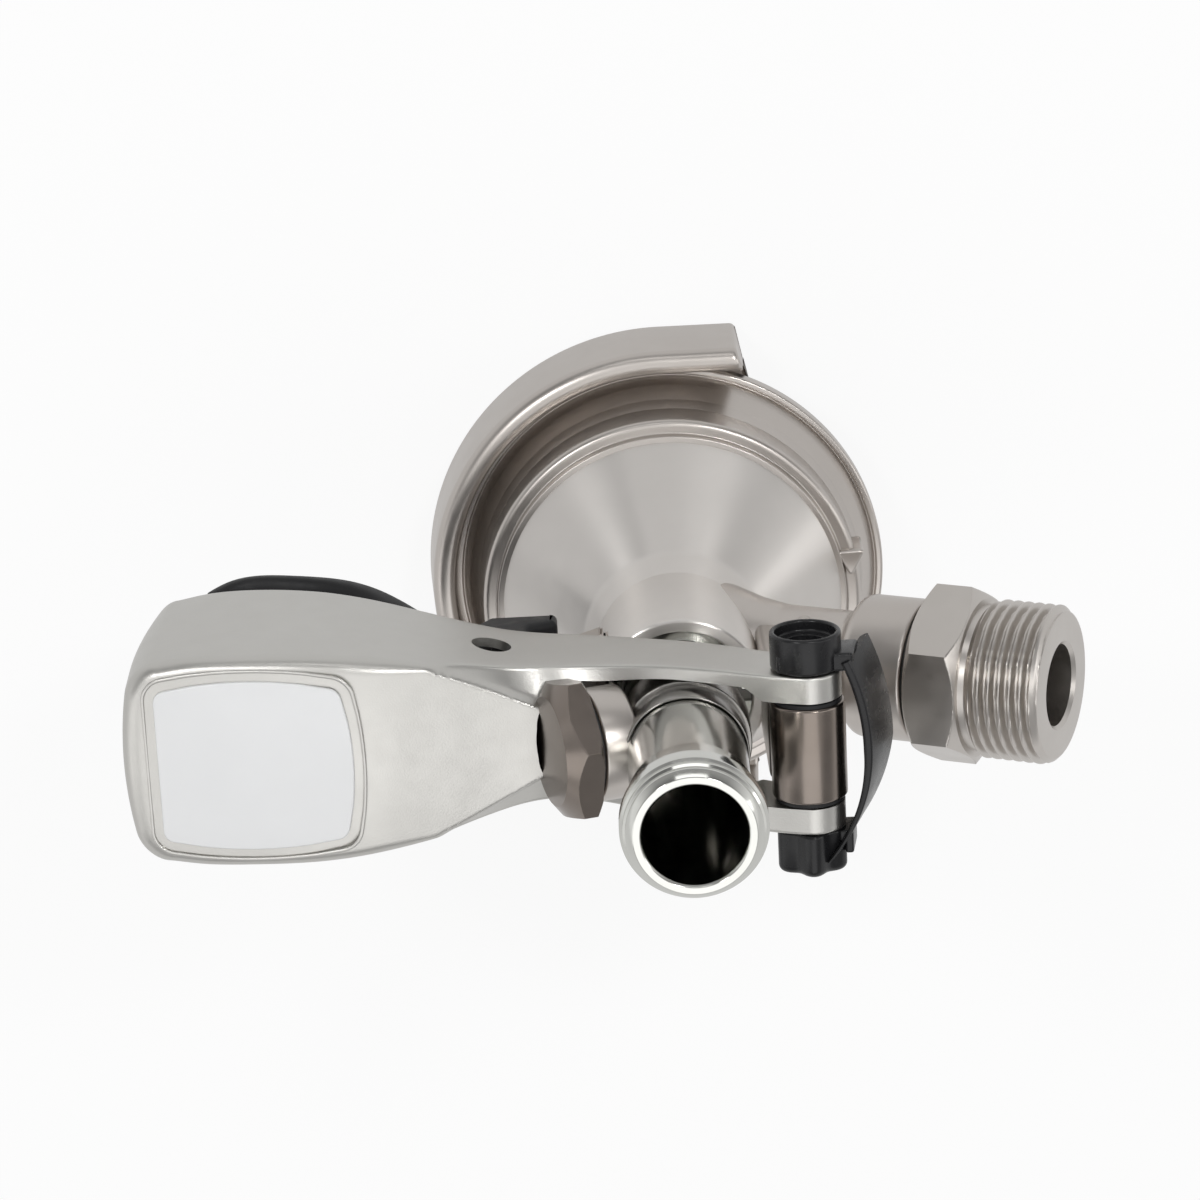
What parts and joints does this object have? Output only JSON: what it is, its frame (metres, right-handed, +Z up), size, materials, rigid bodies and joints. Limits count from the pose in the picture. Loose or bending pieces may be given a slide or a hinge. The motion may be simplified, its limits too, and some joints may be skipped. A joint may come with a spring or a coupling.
{
  "type": "keg coupler",
  "caption": "Slide-on keg coupler: horseshoe base, sliding probe driven by a forked lever with a trigger latch, threaded gas inlet and a plain beer outlet tube.",
  "frame": {"origin": "probe axis at the base's bottom face", "axes": "+Z up along the beer outlet, +X towards the lever hinge and the gas inlet, along which the base slides off the keg, grip towards -X"},
  "size_m": [0.1582, 0.0866, 0.1395],
  "materials": {
    "satin_nickel": "satin nickel plate",
    "cast_satin": "fine satin",
    "stainless": "polished",
    "worn_nickel": "nickel plate, worn at the corners",
    "bronze_plate": "dark bronze-grey plate",
    "black_plastic": "matte",
    "gloss_black": "glossy",
    "bush_plastic": "matte",
    "ball_plastic": "smooth",
    "black_rubber": "matte",
    "label_white": "glossy"
  },
  "bodies": {
    "body": {"body": "satin_nickel", "keg_seal": "black_rubber", "guide_bush": "bush_plastic", "neck_seal": "black_rubber", "neck_ring": "stainless", "gas_nipple": "worn_nickel", "nipple_washer": "black_rubber", "gas_check": "black_rubber", "gas_insert": "bush_plastic", "side_plug": "bronze_plate", "plug_washer": "black_rubber", "hinge_pin": "stainless", "hinge_bushes": "bush_plastic", "pin_keeper": "gloss_black", "pin_knob": "gloss_black"},
    "probe": {"probe_tube": "stainless", "probe_head": "stainless", "probe_seal": "black_rubber", "ball_cage": "bush_plastic", "drive_collar": "stainless", "drive_pins": "stainless", "collar_lock_ring": "stainless"},
    "lever": {"handle": "cast_satin", "label_plate": "label_white", "trigger_pin": "stainless", "trigger_spring": "stainless"},
    "trigger": {"trigger": "black_plastic"},
    "ball": {"check_ball": "ball_plastic"}
  },
  "joints": [
    {"name": "handle_pivot", "type": "hinge", "parent": "body", "child": "lever", "pos_m": [0.0194, 0, 0.1028], "axis": [0, 1, 0], "range_deg": [0, 45]},
    {"name": "probe_slide", "type": "slide", "parent": "body", "child": "probe", "axis": [0, 0, 1], "range_m": [0, 0.0162]},
    {"name": "trigger_pivot", "type": "hinge", "parent": "lever", "child": "trigger", "pos_m": [-0.0307, 0, 0.082], "axis": [0, 1, 0], "range_deg": [0, 8], "stiffness_Nm_per_rad": 0.05, "springref_deg": -17.19},
    {"name": "ball_lift", "type": "slide", "parent": "probe", "child": "ball", "axis": [0, 0, 1], "range_m": [0, 0.0036]}
  ],
  "couplings": [
    {"joint": "probe_slide", "follows": "handle_pivot", "m_per_rad": 0.02046}
  ]
}
